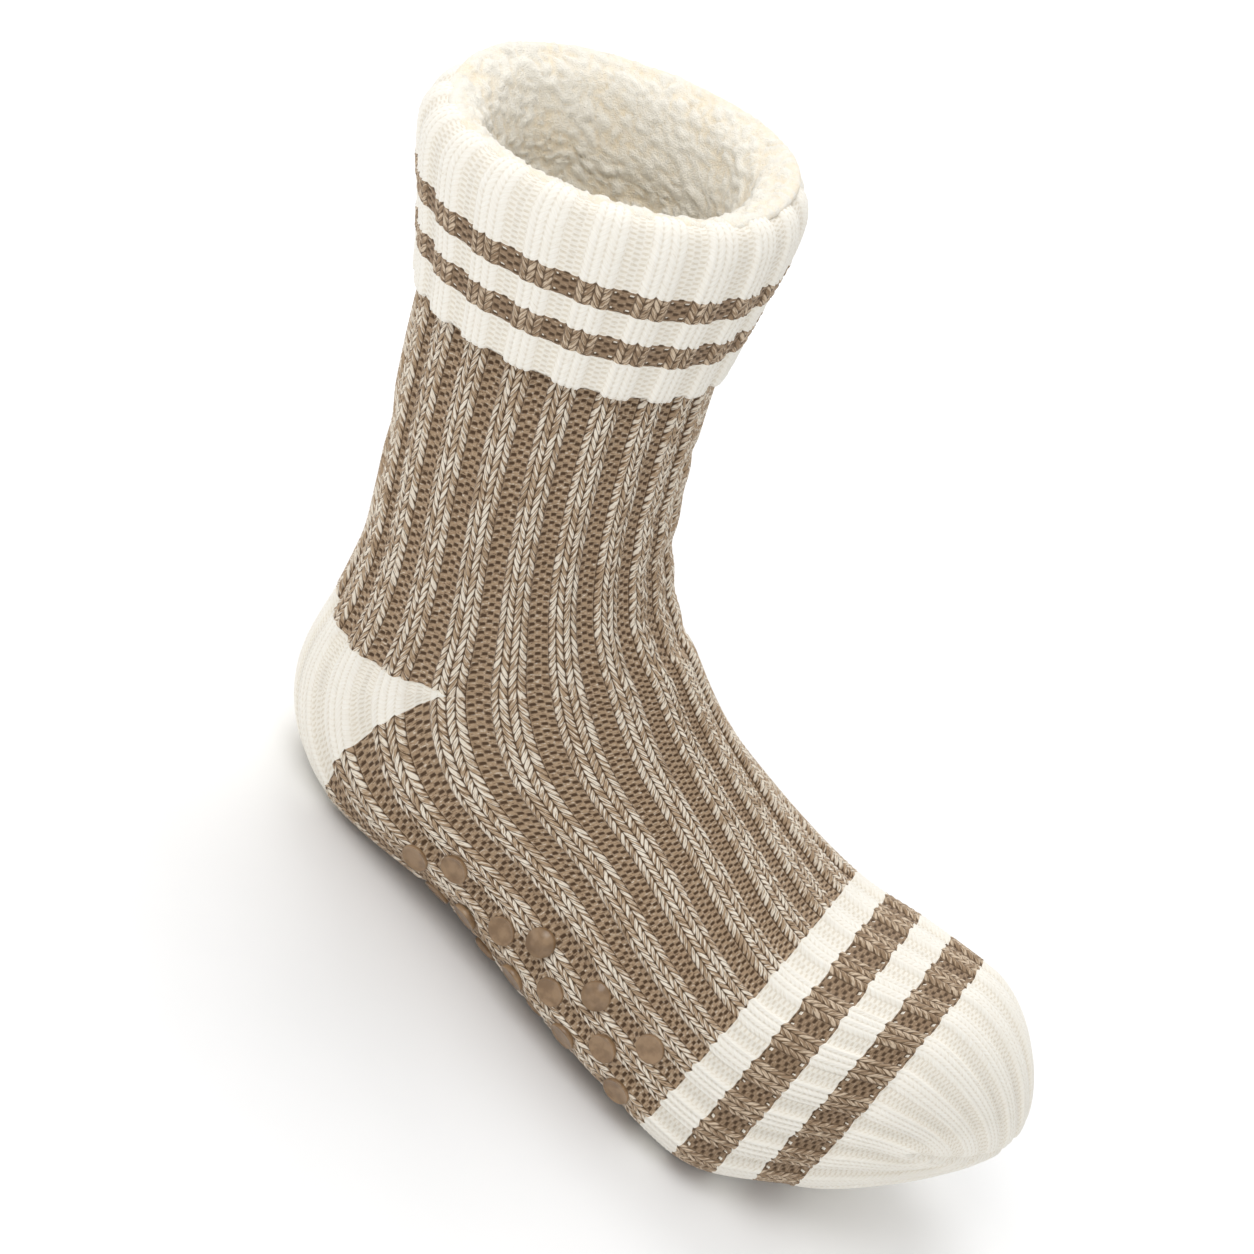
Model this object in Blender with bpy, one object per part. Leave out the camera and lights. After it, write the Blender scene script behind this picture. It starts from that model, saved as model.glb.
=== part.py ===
"""Slipper sock: a rib-knitted tube with a turned-down cuff, a pile lining and grip dots.

Metres, +Z up, toe along +X, sole on Z = 0. The tube fits either foot. Its foot lies with a
slight curve to the left, as a soft sock does.
"""
import math

import bmesh
import bpy
import numpy as np
from mathutils import Vector
from mathutils.bvhtree import BVHTree

# Overall size
FOOT_LENGTH = 0.240
FOOT_WIDTH = 0.105
LEG_HEIGHT = 0.214
FOOT_CURVE = 0.012
FOOT_CURVE_START = 0.29

# Knit
KNIT_WALL = 0.0026
RIBS_PER_HALF = 10
RIB_DEPTH = 0.0012
SOLE_PLAIN_HEIGHT = 0.003
SOLE_RIB_HEIGHT = 0.012

# Toe cap
TOE_SEAM_HEIGHT = 0.044
TOE_SEAM_WIDTH = 0.072
TOE_ROUNDING = 0.042
TOE_SEAM_LIP = 0.0006

# Turned-down cuff
CUFF_HANG = 0.053
CUFF_THICKNESS = 0.0025
CUFF_FLARE = 0.0068
RIM_RISE = 0.0068

# Pile lining
PILE = 0.0048
PILE_CROWN = 0.0040

# Grip dots
DOT_DIAMETER = 0.0080
DOT_HEIGHT = 0.0008
DOT_PITCH = 0.0207
DOT_START = 0.0655
DOT_DOME = 0.82
DOT_SEAT_STEP = 0.0001
DOT_SEAT_TRIALS = (0.3, 0.6, 1.0)  # shares of the gap at which a seat is tried
DOT_SIDES = 10

# Fit between pieces
GAP = 0.0003

# Points around one rib, of which every third lies in the furrow, and rings on the toe cap
POINTS_PER_RIB = 3
FURROW_POINT = 1
TOE_RINGS = 6

# Sections from the collar to the toe cap. x is a share of FOOT_LENGTH, z of LEG_HEIGHT and
# the half width of FOOT_WIDTH. The lower bend is the exponent of the lower half's curve, and
# the last column counts the rings from this row to the next.
SECTIONS = (
    # name, front x, front z, back x, back z, half width, lower bend, rings
    ("collar", 0.117, 1.000, -0.222, 0.868, 0.368, 2.15, 1),
    ("cuff line", 0.154, 0.884, -0.178, 0.760, 0.374, 2.15, 1),
    ("calf", 0.195, 0.743, -0.130, 0.624, 0.366, 2.15, 1),
    ("leg", 0.229, 0.643, -0.080, 0.494, 0.367, 2.15, 1),
    ("ankle", 0.273, 0.543, -0.032, 0.369, 0.362, 2.15, 2),
    ("heel top", 0.324, 0.480, -0.002, 0.233, 0.352, 2.20, 2),
    ("heel middle", 0.367, 0.454, 0.021, 0.096, 0.340, 2.35, 2),
    ("heel end", 0.430, 0.413, 0.130, -0.003, 0.350, 2.60, 2),
    ("arch", 0.512, 0.374, 0.299, 0.0145, 0.386, 3.10, 1),
    ("waist", 0.589, 0.342, 0.445, 0.0115, 0.450, 3.80, 1),
    ("ball", 0.662, 0.318, 0.610, 0.0075, 0.508, 4.80, 1),
    ("tread", 0.713, 0.320, 0.690, -0.002, 0.515, 4.80, 1),
    ("band", 0.769, 0.332, 0.752, -0.001, 0.498, 4.40, 1),
    ("toe", 0.853, 0.350, 0.833, 0.026, 0.410, 3.40, 1),
)
LEG_BEND = 2.15
TOE_CLOSING = 1.6

# Cuff profile, from the hem up the outer side and over the rim. The drop is a share of
# CUFF_HANG below the rim and the stand-off a share of CUFF_FLARE beyond the leg.
CUFF_OUTSIDE = (
    # drop, stand-off
    (1.00, 0.00),
    (0.80, 0.20),
    (0.55, 0.55),
    (0.32, 0.90),
    (0.17, 1.00),
)
RIM_ANGLES = (25.0, 55.0, 90.0, 125.0, 155.0)

# Crown of the lining: rise as a share of PILE_CROWN, depth as a share of PILE
CROWN_PROFILE = (
    # rise, depth
    (0.70, 0.10),
    (1.00, 0.50),
    (0.70, 0.90),
)

# Rows of dots from heel to toe, half a pitch apart. Each share is a place on the run from the
# sole's middle to the middle of the foot's side, and is used on both sides.
DOT_ROWS = (
    (0.0, 0.285, 0.57),
    (0.145, 0.43, 0.71),
    (0.0, 0.275, 0.55),
    (0.145, 0.42, 0.70),
    (0.0, 0.29, 0.58, 0.83),
    (0.15, 0.45, 0.735),
    (0.0, 0.32, 0.64, 0.90),
    (0.16, 0.47, 0.78),
    (0.0, 0.34, 0.69, 0.97),
)

# Steps of the curves' sampling
HALF_TURN_STEPS = 96
DROP_STEPS = 60
SOLE_STEPS = 32
HALVINGS = 24

# Shares of a ring, counted from its near side: the back's middle, and the cup's reach from it
BACK_SHARE = 0.75
SIDE_SHARE = 0.25
HEEL_EDGE_BLEND = 0.4


def natural_spline(values):
    """Second derivatives of a natural cubic through evenly spaced rows."""
    count = len(values)
    system = np.zeros((count, count))
    right = np.zeros_like(values)
    system[0, 0] = 1.0
    system[-1, -1] = 1.0
    for i in range(1, count - 1):
        system[i, i - 1:i + 2] = (1.0, 4.0, 1.0)
        right[i] = 6.0 * (values[i + 1] - 2.0 * values[i] + values[i - 1])
    return np.linalg.solve(system, right)


ROW_SCALE = (FOOT_LENGTH, LEG_HEIGHT, FOOT_LENGTH, LEG_HEIGHT, FOOT_WIDTH, 1.0)
ROWS = np.array([row[1:7] for row in SECTIONS]) * np.array(ROW_SCALE)
CURVES = natural_spline(ROWS)
LAST_ROW = len(ROWS) - 1
INNER_POINTS = 2 * RIBS_PER_HALF
OUTER_POINTS = INNER_POINTS * POINTS_PER_RIB


def section(v):
    """Front point, back point, half width and lower bend at row v of the table."""
    i = min(int(v), LAST_ROW - 1)
    t = v - i
    s = 1.0 - t
    row = s * ROWS[i] + t * ROWS[i + 1]
    row += ((s ** 3 - s) * CURVES[i] + (t ** 3 - t) * CURVES[i + 1]) / 6.0
    front = np.array((row[0], 0.0, row[1]))
    back = np.array((row[2], 0.0, row[3]))
    return front, back, row[4], row[5]


def power(value, exponent):
    return math.copysign(abs(value) ** exponent, value)


def oval(bend, angle):
    """(front, side) shares of an oval's point, the angle counted from the front."""
    return power(math.cos(angle), 2.0 / bend), power(math.sin(angle), 2.0 / bend)


def half_turn(bend, count):
    """(front, side) shares at even steps along a half oval, half a step in from its ends."""
    points = [oval(bend, math.pi * (k / HALF_TURN_STEPS - 0.5)) for k in range(HALF_TURN_STEPS + 1)]
    run = [0.0]
    for (a, b), (c, d) in zip(points, points[1:]):
        run.append(run[-1] + math.hypot(c - a, d - b))
    marks = [run[-1] * (k + 0.5) / count for k in range(count)]
    fronts = np.interp(marks, run, [p[0] for p in points])
    sides = np.interp(marks, run, [p[1] for p in points])
    return list(zip(fronts, sides))


def oval_points(bend, count):
    """Shares around a section, from the near side over the front and back under the foot."""
    upper = half_turn(LEG_BEND, count // 2)
    lower = [(-front, -side) for front, side in half_turn(bend, count // 2)]
    return upper + lower


def toe_section(q, inset):
    """Centre, half depth, half width, bend and rounding of the toe cap, q is 1 at the seam."""
    centre, half, width, bend = inset_section(LAST_ROW, inset)
    seam = np.array((FOOT_LENGTH - inset, 0.0, TOE_SEAM_HEIGHT))
    half *= (1.0 - q ** TOE_CLOSING) ** (1.0 / TOE_CLOSING)
    width += (TOE_SEAM_WIDTH / 2.0 - inset - width) * q ** 3
    return centre + (seam - centre) * q, half, width, bend, TOE_ROUNDING * q


def place(centre, half, width, shares, inset, rounding=0.0):
    """A point of the form from its shares, with the foot's curve, on or above the floor."""
    along, across = shares
    y = width * across
    point = centre + half * along + np.array((-rounding * (2.0 * y / FOOT_WIDTH) ** 2, y, 0.0))
    start = FOOT_CURVE_START * FOOT_LENGTH
    reach = max(point[0] - start, 0.0) / (FOOT_LENGTH - start)
    point[1] += FOOT_CURVE * reach ** 3
    point[2] = max(point[2], inset)
    return point


def inset_section(v, inset):
    """Centre, half depth, half width and bend at row v, moved inward by inset."""
    front, back, width, bend = section(v)
    half = (front - back) / 2.0
    half *= 1.0 - inset / np.linalg.norm(half)
    return (front + back) / 2.0, half, width - inset, bend


def knit_ring(v, inset, count):
    """One ring of the sock's form at row v, moved inward by inset."""
    centre, half, width, bend = inset_section(v, inset)
    return np.array([place(centre, half, width, s, inset) for s in oval_points(bend, count)])


def toe_ring(q, inset, count):
    """One ring of the toe cap."""
    centre, half, width, bend, rounding = toe_section(q, inset)
    return np.array([place(centre, half, width, s, inset, rounding)
                     for s in oval_points(bend, count)])


def smooth_step(value, low, high):
    t = min(max((value - low) / (high - low), 0.0), 1.0)
    return t * t * (3.0 - 2.0 * t)


def row_index(name):
    return [row[0] for row in SECTIONS].index(name)


def heel_plainness(v, share):
    """1 inside the short-row heel cup, whose edges meet at the middle of each side."""
    behind = 1.0 - abs(share - BACK_SHARE) / SIDE_SHARE
    if behind <= 0.0:
        return 0.0
    middle = row_index("heel middle")
    reach = behind * (row_index("heel end") - row_index("heel top")) / 2.0
    return 1.0 - smooth_step(abs(v - middle), reach, reach + HEEL_EDGE_BLEND)


def ribbed(ring, v, depth):
    """Sinks the furrow between two ribs by depth, towards the ring's middle."""
    count = len(ring)
    middle = ring.mean(axis=0)
    out = ring.copy()
    for k in range(FURROW_POINT, count, POINTS_PER_RIB):
        sink = depth * (1.0 - heel_plainness(v, (k + 0.5) / count))
        sink *= smooth_step(ring[k][2], SOLE_PLAIN_HEIGHT, SOLE_RIB_HEIGHT)
        inward = middle - ring[k]
        out[k] = ring[k] + inward / np.linalg.norm(inward) * sink
    return out


def row_steps():
    """The rows at which the form has rings, with the extra ones that a bend needs."""
    steps = []
    for row, columns in enumerate(SECTIONS[:-1]):
        steps += [row + k / columns[7] for k in range(columns[7])]
    return steps + [float(LAST_ROW)]


def toe_steps():
    return [math.sin(math.pi / 2.0 * k / TOE_RINGS) for k in range(1, TOE_RINGS + 1)]


def sock_rings(inset, count, depth):
    """Rings of the sock's form from the collar to the toe seam, with ribs of that depth."""
    rings = [ribbed(knit_ring(v, inset, count), v, depth) for v in row_steps()]
    for q in toe_steps():
        rings.append(ribbed(toe_ring(q, inset, count), LAST_ROW, depth * (1.0 - q ** 4)))
    for k in range(count // 2):
        rings[-1][k][2] += TOE_SEAM_LIP
        rings[-1][count - 1 - k][2] -= TOE_SEAM_LIP
    return rings


def add_ring(mesh, ring):
    return [mesh.verts.new(Vector(point)) for point in ring]


def bridge(mesh, a, b):
    """Faces between two rings, where a has as many points as b or a multiple of them."""
    fold = len(a) // len(b)
    for k in range(len(b)):
        n = (k + 1) % len(b)
        part = [a[(fold * k + j) % len(a)] for j in range(fold + 1)]
        middle = fold // 2
        for j in range(fold):
            near = b[k] if j < middle else b[n]
            if fold == 1 or j == middle:
                mesh.faces.new((part[j], part[j + 1], b[n], b[k]))
            else:
                mesh.faces.new((part[j], part[j + 1], near))


def close_slit(mesh, ring):
    """Closes the last ring with a narrow strip from its upper to its lower edge."""
    count = len(ring)
    for k in range(count // 2 - 1):
        mesh.faces.new((ring[k], ring[k + 1], ring[count - 2 - k], ring[count - 1 - k]))


def finish_object(name, mesh, colour, roughness, sharp_angle=50.0):
    """Makes a named object with its own material from a closed bmesh."""
    bmesh.ops.recalc_face_normals(mesh, faces=mesh.faces[:])
    data = bpy.data.meshes.new(name)
    mesh.to_mesh(data)
    mesh.free()
    data.shade_smooth()
    data.set_sharp_from_angle(angle=math.radians(sharp_angle))
    material = bpy.data.materials.get(name) or bpy.data.materials.new(name)
    material.use_nodes = True
    shader = material.node_tree.nodes["Principled BSDF"]
    shader.inputs["Base Color"].default_value = (*colour, 1.0)
    shader.inputs["Roughness"].default_value = roughness
    shader.inputs["Metallic"].default_value = 0.0
    data.materials.append(material)
    obj = bpy.data.objects.new(name, data)
    bpy.context.scene.collection.objects.link(obj)
    return obj


def make_knit_body():
    """The knitted tube: leg, short-row heel, foot and toe cap in one wall, open at the collar."""
    mesh = bmesh.new()
    outer = [add_ring(mesh, ring) for ring in sock_rings(0.0, OUTER_POINTS, RIB_DEPTH)]
    inner = [add_ring(mesh, ring) for ring in sock_rings(KNIT_WALL, INNER_POINTS, 0.0)]
    for rings in (outer, inner):
        for a, b in zip(rings, rings[1:]):
            bridge(mesh, a, b)
        close_slit(mesh, rings[-1])
    bridge(mesh, outer[0], inner[0])
    return finish_object("knit_body", mesh, (0.42, 0.33, 0.25), 0.95)


def row_at_drop(drop):
    """The row of the table that lies drop below the collar, along the leg's middle."""
    steps = [row_index("leg") * k / DROP_STEPS for k in range(DROP_STEPS + 1)]
    middles = [inset_section(v, 0.0)[0] for v in steps]
    runs = [float(np.linalg.norm(m - middles[0])) for m in middles]
    return float(np.interp(drop, runs, steps))


def collar_ring(drop, stand_off, count):
    """A ring of the leg's form, drop below the collar and stand_off outside its wall."""
    if drop > 0.0:
        return knit_ring(row_at_drop(drop), -stand_off, count)
    half = inset_section(0.0, 0.0)[1]
    up = np.array((-half[2], 0.0, half[0])) / np.linalg.norm(half)
    return knit_ring(0.0, -stand_off, count) - up * drop


def cuff_profile():
    """(drop, stand-off, rib depth) up the outer side, over the rim and down next to the leg."""
    outside = [(CUFF_HANG * drop - RIM_RISE, GAP + CUFF_THICKNESS + CUFF_FLARE * share, RIB_DEPTH)
               for drop, share in CUFF_OUTSIDE]
    inner_side = -KNIT_WALL
    shoulder, reach, _ = outside[-1]
    middle = (reach + inner_side) / 2.0
    rim = []
    for degrees in RIM_ANGLES:
        a = math.radians(degrees)
        rim.append((shoulder - (RIM_RISE + shoulder) * math.sin(a),
                    middle + (reach - middle) * math.cos(a),
                    RIB_DEPTH * max(math.cos(a), 0.0)))
    under = [(-GAP, inner_side, 0.0), (-GAP, GAP, 0.0)]
    under += [(max(drop, 2.0 * GAP), max(reach - CUFF_THICKNESS, GAP), 0.0)
              for drop, reach, _ in reversed(outside)]
    return outside + rim + under


def make_cuff():
    """The turned-down cuff: a ribbed sheet outside the leg that rolls over the collar's edge."""
    mesh = bmesh.new()
    rings = [add_ring(mesh, ribbed(collar_ring(drop, reach, OUTER_POINTS), 0.0, depth))
             for drop, reach, depth in cuff_profile()]
    for a, b in zip(rings, rings[1:] + rings[:1]):
        bridge(mesh, a, b)
    return finish_object("cuff", mesh, (0.80, 0.77, 0.70), 0.95)


def make_lining():
    """The pile lining: a sock inside the sock, with a crown that shows at the collar."""
    mesh = bmesh.new()
    outside = KNIT_WALL + GAP
    outer = [add_ring(mesh, ring) for ring in sock_rings(outside, INNER_POINTS, 0.0)]
    inner = [add_ring(mesh, ring) for ring in sock_rings(outside + PILE, INNER_POINTS, 0.0)]
    crown = [add_ring(mesh, collar_ring(-PILE_CROWN * rise, -(outside + PILE * depth),
                                        INNER_POINTS))
             for rise, depth in CROWN_PROFILE]
    for rings in (outer, inner):
        for a, b in zip(rings, rings[1:]):
            bridge(mesh, a, b)
        close_slit(mesh, rings[-1])
    for a, b in zip([outer[0]] + crown, crown + [inner[0]]):
        bridge(mesh, a, b)
    return finish_object("lining", mesh, (0.82, 0.79, 0.72), 1.0)


def sole_point(v, angle):
    """A point of the outer form, the angle counted from the sole's middle to the left side."""
    centre, half, width, bend = inset_section(v, 0.0)
    along, across = oval(bend, angle)
    return place(centre, half, width, (-along, across), 0.0)


def sole_row(station):
    """Angles, rows and runs from the sole's middle to the side's middle, at the same x."""
    angles = [math.pi / 2.0 * k / SOLE_STEPS for k in range(SOLE_STEPS + 1)]
    rows = []
    for angle in angles:
        low, high = float(row_index("heel middle")), float(LAST_ROW)
        for _ in range(HALVINGS):
            middle = (low + high) / 2.0
            if sole_point(middle, angle)[0] < station:
                low = middle
            else:
                high = middle
        rows.append(low)
    points = [sole_point(v, a) for v, a in zip(rows, angles)]
    runs = [0.0]
    for a, b in zip(points, points[1:]):
        runs.append(runs[-1] + float(np.linalg.norm(b - a)))
    return angles, rows, runs


def dot_mesh(seats, low, high):
    """A dot from its seats on the knit: an edge ring, a dome ring and a middle."""
    mesh = bmesh.new()
    base = add_ring(mesh, [p + low for p in seats[:DOT_SIDES]])
    dome = add_ring(mesh, [p + high for p in seats[DOT_SIDES:2 * DOT_SIDES]])
    bottom, top = add_ring(mesh, [seats[-1] + low, seats[-1] + high])
    bridge(mesh, base, dome)
    for k in range(DOT_SIDES):
        n = (k + 1) % DOT_SIDES
        mesh.faces.new((dome[k], dome[n], top))
        mesh.faces.new((base[n], base[k], bottom))
    return mesh


def dot_tree(seats, shift):
    """A search tree of the dot's underside, moved by shift."""
    mesh = dot_mesh(seats, shift, shift)
    tree = BVHTree.FromBMesh(mesh)
    mesh.free()
    return tree


def make_dot(name, knit_tree, station, share):
    """A low silicone dome seated on the knit, share of the way from the sole to its side."""
    angles, rows, runs = sole_row(station)
    run = abs(share) * runs[-1]
    angle = math.copysign(float(np.interp(run, runs, angles)), share)
    v = float(np.interp(run, runs, rows))
    step = 0.01
    ahead = (sole_point(v + step, angle) - sole_point(v - step, angle)) / (2.0 * step)
    aside = (sole_point(v, angle + step) - sole_point(v, angle - step)) / (2.0 * step)
    normal = np.cross(aside, ahead)
    normal /= np.linalg.norm(normal)
    first = ahead / np.linalg.norm(ahead)
    second = np.cross(normal, first)
    centre = sole_point(v, angle)
    rays = []
    for share in (1.0, DOT_DOME):
        for k in range(DOT_SIDES):
            turn = 2.0 * math.pi * k / DOT_SIDES
            aside_step = first * math.cos(turn) + second * math.sin(turn)
            rays.append(centre + aside_step * share * DOT_DIAMETER / 2.0)
    rays.append(centre)
    seats = []
    for point in rays:
        start = Vector(point + normal * DOT_DIAMETER)
        seats.append(np.array(knit_tree.ray_cast(start, Vector(-normal))[0]))
    rise = 0.0
    while any(knit_tree.overlap(dot_tree(seats, normal * (rise + GAP * share)))
              for share in DOT_SEAT_TRIALS):
        rise += DOT_SEAT_STEP
    mesh = dot_mesh(seats, normal * (rise + GAP), normal * (rise + GAP + DOT_HEIGHT))
    return finish_object(name, mesh, (0.36, 0.25, 0.15), 0.3)


def dot_places():
    """Stations and signed shares of the staggered dots, from the heel's end to the toe band."""
    places = []
    for row, shares in enumerate(DOT_ROWS):
        station = DOT_START + row * DOT_PITCH / 2.0
        for share in shares:
            places += [(station, -share), (station, share)] if share else [(station, share)]
    return places


def main():
    for obj in list(bpy.data.objects):
        bpy.data.objects.remove(obj)
    knit_body = make_knit_body()
    knit = knit_body.data
    knit_tree = BVHTree.FromPolygons([v.co for v in knit.vertices],
                                     [p.vertices for p in knit.polygons])
    parts = [knit_body, make_cuff(), make_lining()]
    for k, (station, share) in enumerate(dot_places()):
        parts.append(make_dot(f"grip_dot_{k + 1:02d}", knit_tree, station, share))
    points = np.array([v.co for obj in parts for v in obj.data.vertices])
    middle = (points.min(axis=0) + points.max(axis=0)) / 2.0
    for obj in parts:
        obj.location = (-middle[0], -middle[1], 0.0)


main()
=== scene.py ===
"""Looks of the slipper sock: stitched knit, striped cuff, curled pile and glossy grip dots.

The knit is one lattice of stitches laid over the sock's form. A column is a line of points along
a wale, and a row runs around the sock. Sizes are in metres. The form is a table of sections, given
as shares of the foot's length and width and of the leg's height.
"""
import math

import bpy
import numpy as np
from mathutils import Matrix, Vector, noise


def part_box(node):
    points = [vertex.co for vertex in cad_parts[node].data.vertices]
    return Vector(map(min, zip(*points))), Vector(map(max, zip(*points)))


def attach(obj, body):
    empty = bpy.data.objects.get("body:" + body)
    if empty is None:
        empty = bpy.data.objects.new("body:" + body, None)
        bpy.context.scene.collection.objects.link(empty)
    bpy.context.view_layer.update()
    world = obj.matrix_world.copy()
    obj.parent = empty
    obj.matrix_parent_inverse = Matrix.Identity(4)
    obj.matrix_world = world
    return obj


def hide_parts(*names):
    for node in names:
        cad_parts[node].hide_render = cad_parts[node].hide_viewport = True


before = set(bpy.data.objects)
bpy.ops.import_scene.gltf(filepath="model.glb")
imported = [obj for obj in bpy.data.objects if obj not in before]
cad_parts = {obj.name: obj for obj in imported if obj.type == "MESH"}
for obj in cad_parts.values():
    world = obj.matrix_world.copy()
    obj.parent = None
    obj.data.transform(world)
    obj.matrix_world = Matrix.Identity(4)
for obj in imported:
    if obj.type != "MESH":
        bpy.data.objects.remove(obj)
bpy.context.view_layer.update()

# The sock's form, in its own frame: heel at x = 0, sole on z = 0
FOOT_LENGTH = 0.240
FOOT_WIDTH = 0.105
LEG_HEIGHT = 0.214
FOOT_CURVE = 0.012
FOOT_CURVE_START = 0.29
TOE_SEAM_HEIGHT = 0.044
TOE_SEAM_WIDTH = 0.072
TOE_ROUNDING = 0.042
TOE_CLOSING = 1.6
LEG_BEND = 2.15
SECTIONS = (
    # front x, front z, back x, back z, half width, lower bend
    (0.117, 1.000, -0.222, 0.868, 0.368, 2.15),
    (0.154, 0.884, -0.178, 0.760, 0.374, 2.15),
    (0.195, 0.743, -0.130, 0.624, 0.366, 2.15),
    (0.229, 0.643, -0.080, 0.494, 0.367, 2.15),
    (0.273, 0.543, -0.032, 0.369, 0.362, 2.15),
    (0.324, 0.480, -0.002, 0.233, 0.352, 2.20),
    (0.367, 0.454, 0.021, 0.096, 0.340, 2.35),
    (0.430, 0.413, 0.130, -0.003, 0.350, 2.60),
    (0.512, 0.374, 0.299, 0.0145, 0.386, 3.10),
    (0.589, 0.342, 0.445, 0.0115, 0.450, 3.80),
    (0.662, 0.318, 0.610, 0.0075, 0.508, 4.80),
    (0.713, 0.320, 0.690, -0.002, 0.515, 4.80),
    (0.769, 0.332, 0.752, -0.001, 0.498, 4.40),
    (0.853, 0.350, 0.833, 0.026, 0.410, 3.40),
)
LAST_ROW = len(SECTIONS) - 1
FIRST_FOOT_ROW = LAST_ROW - 5
LAST_LEG_ROW = 3.0
LEG_STEPS = 61
ROW_STEPS = 16
TOE_STEPS = 28
OVAL_STEPS = 181
SPLINE_STEPS = 12

# Walls, from the knit's outside inward, and the gap between the layers
KNIT_WALL = 0.0026
PILE = 0.0048
GAP = 0.0003

# Columns. A rib is two knit wales and a furrow two purl wales; a wale is two strands.
RIB_COUNT = 20
STRANDS_PER_RIB = 8
KNIT_STRANDS = STRANDS_PER_RIB / 2
COLUMNS_PER_STRAND = 3
COLUMNS_PER_RIB = STRANDS_PER_RIB * COLUMNS_PER_STRAND
COLUMNS = RIB_COUNT * COLUMNS_PER_RIB
KNIT_SHARE = 0.60
BACK_SHARE = 0.75
SIDE_TO_BACK = 0.25
RIB_SINK = 0.0021
RIB_EDGE = (0.62, 1.22)
RIB_ROUNDING = 0.05
LATTICE_SINK = 0.0001
FLOOR_CLEARANCE = 0.0002

# Stitches: leaves on the knit strands, and short bars in three columns of each furrow
TAUPE_ROWS = 3
CREAM_ROWS = 2
RELIEF_STEPS = TAUPE_ROWS * CREAM_ROWS
STRAND_HEIGHT = 0.00075
STRAND_FULLNESS = 2.5
LEAF_WAIST = 0.35
LEAF_FULLNESS = 0.7
PURL_HEIGHT = 0.00070
PURL_COLUMNS = 3.0
MIDDLE_PHASE = 0.5
OUTER_PHASE = 5.0 / 6.0
CREAM_RELIEF = 0.6
SKEW = 1.0
CHEVRON = 0.55
STRIPE_CHEVRON = 0.40
CREAM_CHEVRON = 0.40
CHEVRON_START = 6.0
CHEVRON_BLEND = 3

# Rows of each part of the knit. The heel's places are rows of the form, the bands' are x.
LEG_ROWS = 171
FOOT_ROWS = 150
HEEL_ROWS = 60
HEEL_APEX = 5.80
HEEL_UP = 1.00
HEEL_MITRE = 0.40
HEEL_DOWN = 1.98
HEEL_CUP_ROWS = 16.0
HEEL_SHALLOWNESS = 0.55
BAND_START = 0.160
BAND_END = 0.2025
CAP_ROW = 0.00075
LEAST_CAP_ROWS = 4
TOE_SHALLOWNESS = 0.38
TOE_SHALLOWING = (-12.0, 3.0)

# The closed end: relief left there, a lip beside the toe seam and the seam's groove
TOE_FADE_RUN = 0.015
TOE_RELIEF = 0.25
TOE_LIP = 0.0006
TOE_LIP_RUN = 0.003
TOE_LIP_DIP = 0.5
TOE_GROOVE = 2.2
TOE_GROOVE_RUN = 0.0025
SEAM_STITCH = 0.3

# Flattening under the sole, from which height to which
SOLE_RELIEF = 0.30
SOLE_FADE = (0.004, 0.024)

# Soft creases: row of the form, share of the turn, its reach in shares, spread in rows, depth
CREASES = (
    (2.75, 0.270, 0.055, 0.16, 0.0010),
    (3.30, 0.225, 0.070, 0.20, 0.0013),
    (3.95, 0.265, 0.080, 0.22, 0.0015),
    (4.60, 0.230, 0.085, 0.26, 0.0014),
    (5.45, 0.255, 0.080, 0.30, 0.0012),
    (3.10, 0.790, 0.060, 0.22, 0.0009),
    (4.30, 0.740, 0.070, 0.26, 0.0010),
)
CREASE_LOSS = 0.75

# Yarns, and bands of them as (rows, rows per stitch, yarn): the toe's, and the cuff's from inside
# the rim to the hem. A stripe's edge rows take the neighbour's colour between two purl columns.
TAUPE, CREAM, STRIPE = 0, 1, 2
TOE_BANDS = ((14, CREAM_ROWS, CREAM), (15, TAUPE_ROWS, STRIPE), (14, CREAM_ROWS, CREAM),
             (15, TAUPE_ROWS, STRIPE))
CUFF_BANDS = ((42, CREAM_ROWS, CREAM), (9, TAUPE_ROWS, STRIPE), (10, CREAM_ROWS, CREAM),
              (9, TAUPE_ROWS, STRIPE), (22, CREAM_ROWS, CREAM))
DASH = (0.2, 0.5)

# Cuff: its outer side and its hem as (share of the hang, share of the flare or of the thickness)
CUFF_HANG = 0.053
CUFF_THICKNESS = 0.0025
CUFF_FLARE = 0.0068
CUFF_OUTSIDE = ((0.17, 1.00), (0.32, 0.90), (0.55, 0.55), (0.80, 0.20), (0.97, 0.02))
HEM_ROUNDING = ((1.005, 0.75), (1.01, 0.30), (0.985, 0.05), (0.93, 0.02))
RIM_RISE = 0.0068
RIM_TURNS = 9
PROFILE_STEP = 0.0005
CUFF_RIB_SINK = 0.0012
CUFF_CHEVRON = -0.35
CUFF_SAG = 0.9
CUFF_EDGE_ROWS = 5.0
RIM_ROWS = (3.0, 15.0)
HEM_ROWS = 9.0
HEM_SHALLOWNESS = 0.75

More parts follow.
